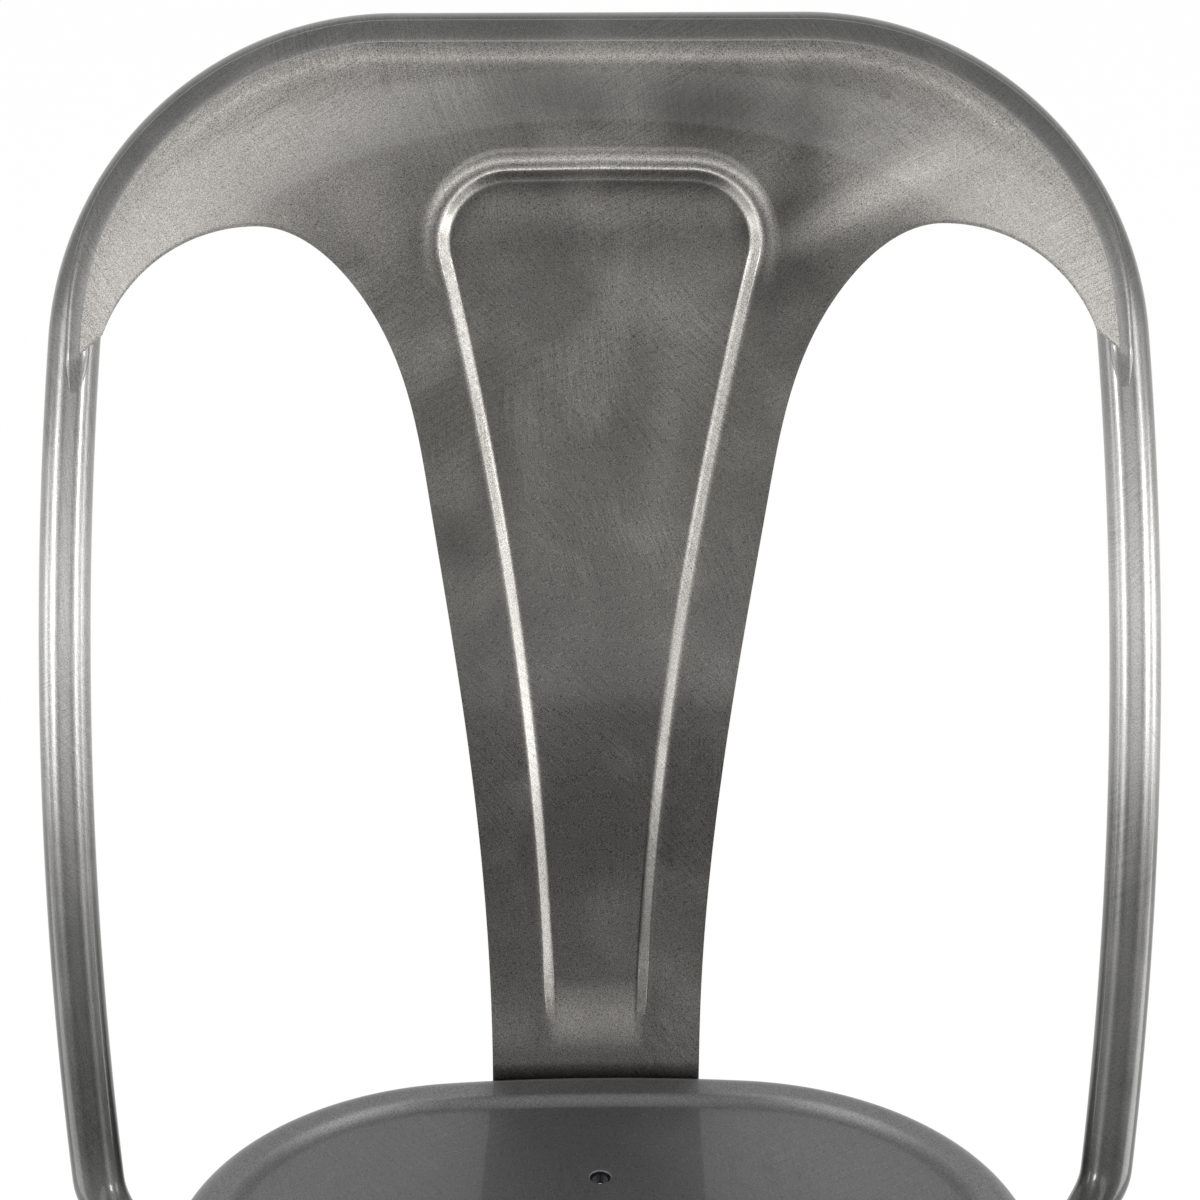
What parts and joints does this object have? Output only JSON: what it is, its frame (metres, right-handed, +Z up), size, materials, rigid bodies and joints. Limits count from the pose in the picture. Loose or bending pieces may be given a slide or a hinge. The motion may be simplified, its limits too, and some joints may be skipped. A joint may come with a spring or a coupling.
{
  "type": "metal chair",
  "caption": "Steel chair with a bent tube back, a dished back sheet narrowing to a bolted splat, a pressed seat pan, splayed gutter legs, a crossed brace and rubber feet.",
  "frame": {"origin": "on the floor under the middle of the chair's outline", "axes": "+Z up, -Y the way a sitter faces, +X to the right as seen from the front"},
  "size_m": [0.412, 0.467, 0.8626],
  "materials": {
    "lacquered_steel": "raw gunmetal steel with grinder brush marks under clear lacquer",
    "black_rubber": "matte moulded rubber",
    "zinc_fasteners": "bright zinc plate"
  },
  "bodies": {
    "root": {"seat_pan": "lacquered_steel", "back_tube": "lacquered_steel", "back_sheet": "lacquered_steel", "sheet_edge_weld": "lacquered_steel", "front_left_leg": "lacquered_steel", "front_right_leg": "lacquered_steel", "rear_left_leg": "lacquered_steel", "rear_right_leg": "lacquered_steel", "lower_brace_bar": "lacquered_steel", "upper_brace_bar": "lacquered_steel", "front_left_foot_cap": "black_rubber", "front_right_foot_cap": "black_rubber", "rear_left_foot_cap": "black_rubber", "rear_right_foot_cap": "black_rubber", "brace_rivets": "zinc_fasteners", "leg_rivets": "zinc_fasteners", "brace_bolt": "zinc_fasteners", "brace_washer": "zinc_fasteners", "brace_nut": "zinc_fasteners", "tube_bolts": "zinc_fasteners", "tube_washers": "zinc_fasteners", "tube_nuts": "zinc_fasteners", "splat_bolts": "zinc_fasteners", "splat_washers": "zinc_fasteners", "splat_nuts": "zinc_fasteners"}
  },
  "joints": []
}
